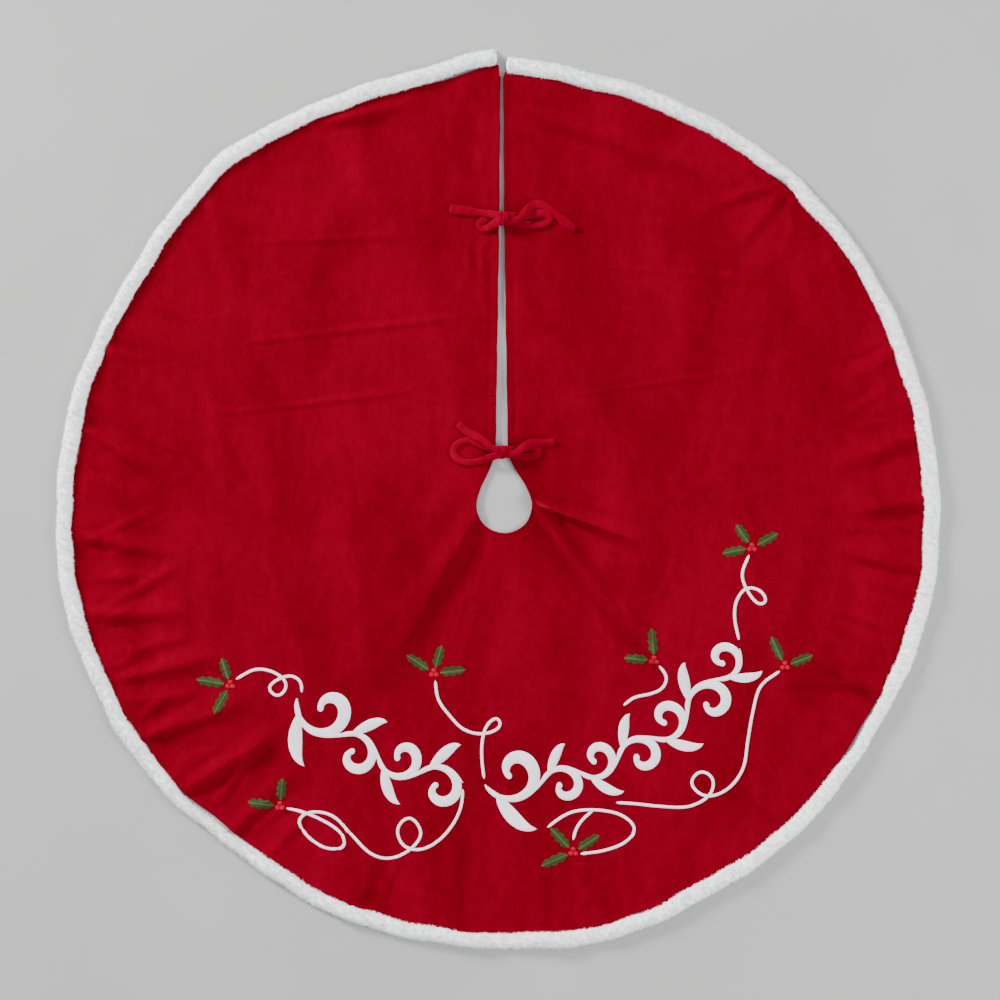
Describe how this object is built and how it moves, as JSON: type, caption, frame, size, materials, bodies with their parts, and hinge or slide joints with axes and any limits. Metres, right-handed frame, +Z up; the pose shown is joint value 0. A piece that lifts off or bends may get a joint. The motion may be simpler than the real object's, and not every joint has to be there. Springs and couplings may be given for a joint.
{
  "type": "tree skirt",
  "caption": "Round lined velvet tree skirt with a plush rim, a trunk hole, a back slit closed by tied bows, and embroidered scrollwork with holly.",
  "frame": {"origin": "middle of the round outline, on the floor under the lining", "axes": "+Z up out of the velvet face; +Y from the trunk hole along the slit to the rim (the back); the embroidery is towards -Y (the front)"},
  "size_m": [1.2192, 1.2192, 0.0224],
  "materials": {
    "velvet": "short-pile velvet, soft sheen",
    "lining": "plain woven lining, matt",
    "backing": "non-woven stabiliser, matt",
    "plush": "deep white plush pile",
    "tie_velvet": "turned velvet ribbon, soft sheen",
    "white_thread": "satin stitch, silky",
    "leaf_thread": "satin stitch, silky",
    "berry_thread": "padded satin stitch, silky"
  },
  "bodies": {
    "root": {"embroidery_backing": "backing", "left_scroll": "white_thread", "lining": "lining", "lower_bow_knot": "tie_velvet", "lower_left_tie": "tie_velvet", "lower_right_tie": "tie_velvet", "plush_trim": "plush", "right_scroll": "white_thread", "sprig_1_berries": "berry_thread", "sprig_1_leaf_1": "leaf_thread", "sprig_1_leaf_2": "leaf_thread", "sprig_1_leaf_3": "leaf_thread", "sprig_1_tendril": "white_thread", "sprig_2_berries": "berry_thread", "sprig_2_leaf_1": "leaf_thread", "sprig_2_leaf_2": "leaf_thread", "sprig_2_leaf_3": "leaf_thread", "sprig_2_tendril": "white_thread", "sprig_3_berries": "berry_thread", "sprig_3_leaf_1": "leaf_thread", "sprig_3_leaf_2": "leaf_thread", "sprig_3_tendril": "white_thread", "sprig_4_berries": "berry_thread", "sprig_4_leaf_1": "leaf_thread", "sprig_4_leaf_2": "leaf_thread", "sprig_4_tendril": "white_thread", "sprig_5_berries": "berry_thread", "sprig_5_leaf_1": "leaf_thread", "sprig_5_leaf_2": "leaf_thread", "sprig_5_leaf_3": "leaf_thread", "sprig_5_tendril": "white_thread", "sprig_6_berries": "berry_thread", "sprig_6_leaf_1": "leaf_thread", "sprig_6_leaf_2": "leaf_thread", "sprig_6_tendril": "white_thread", "sprig_7_berries": "berry_thread", "sprig_7_leaf_1": "leaf_thread", "sprig_7_leaf_2": "leaf_thread", "sprig_7_leaf_3": "leaf_thread", "sprig_7_tendril": "white_thread", "upper_bow_knot": "tie_velvet", "upper_left_tie": "tie_velvet", "upper_right_tie": "tie_velvet", "velvet_face": "velvet"}
  },
  "joints": []
}
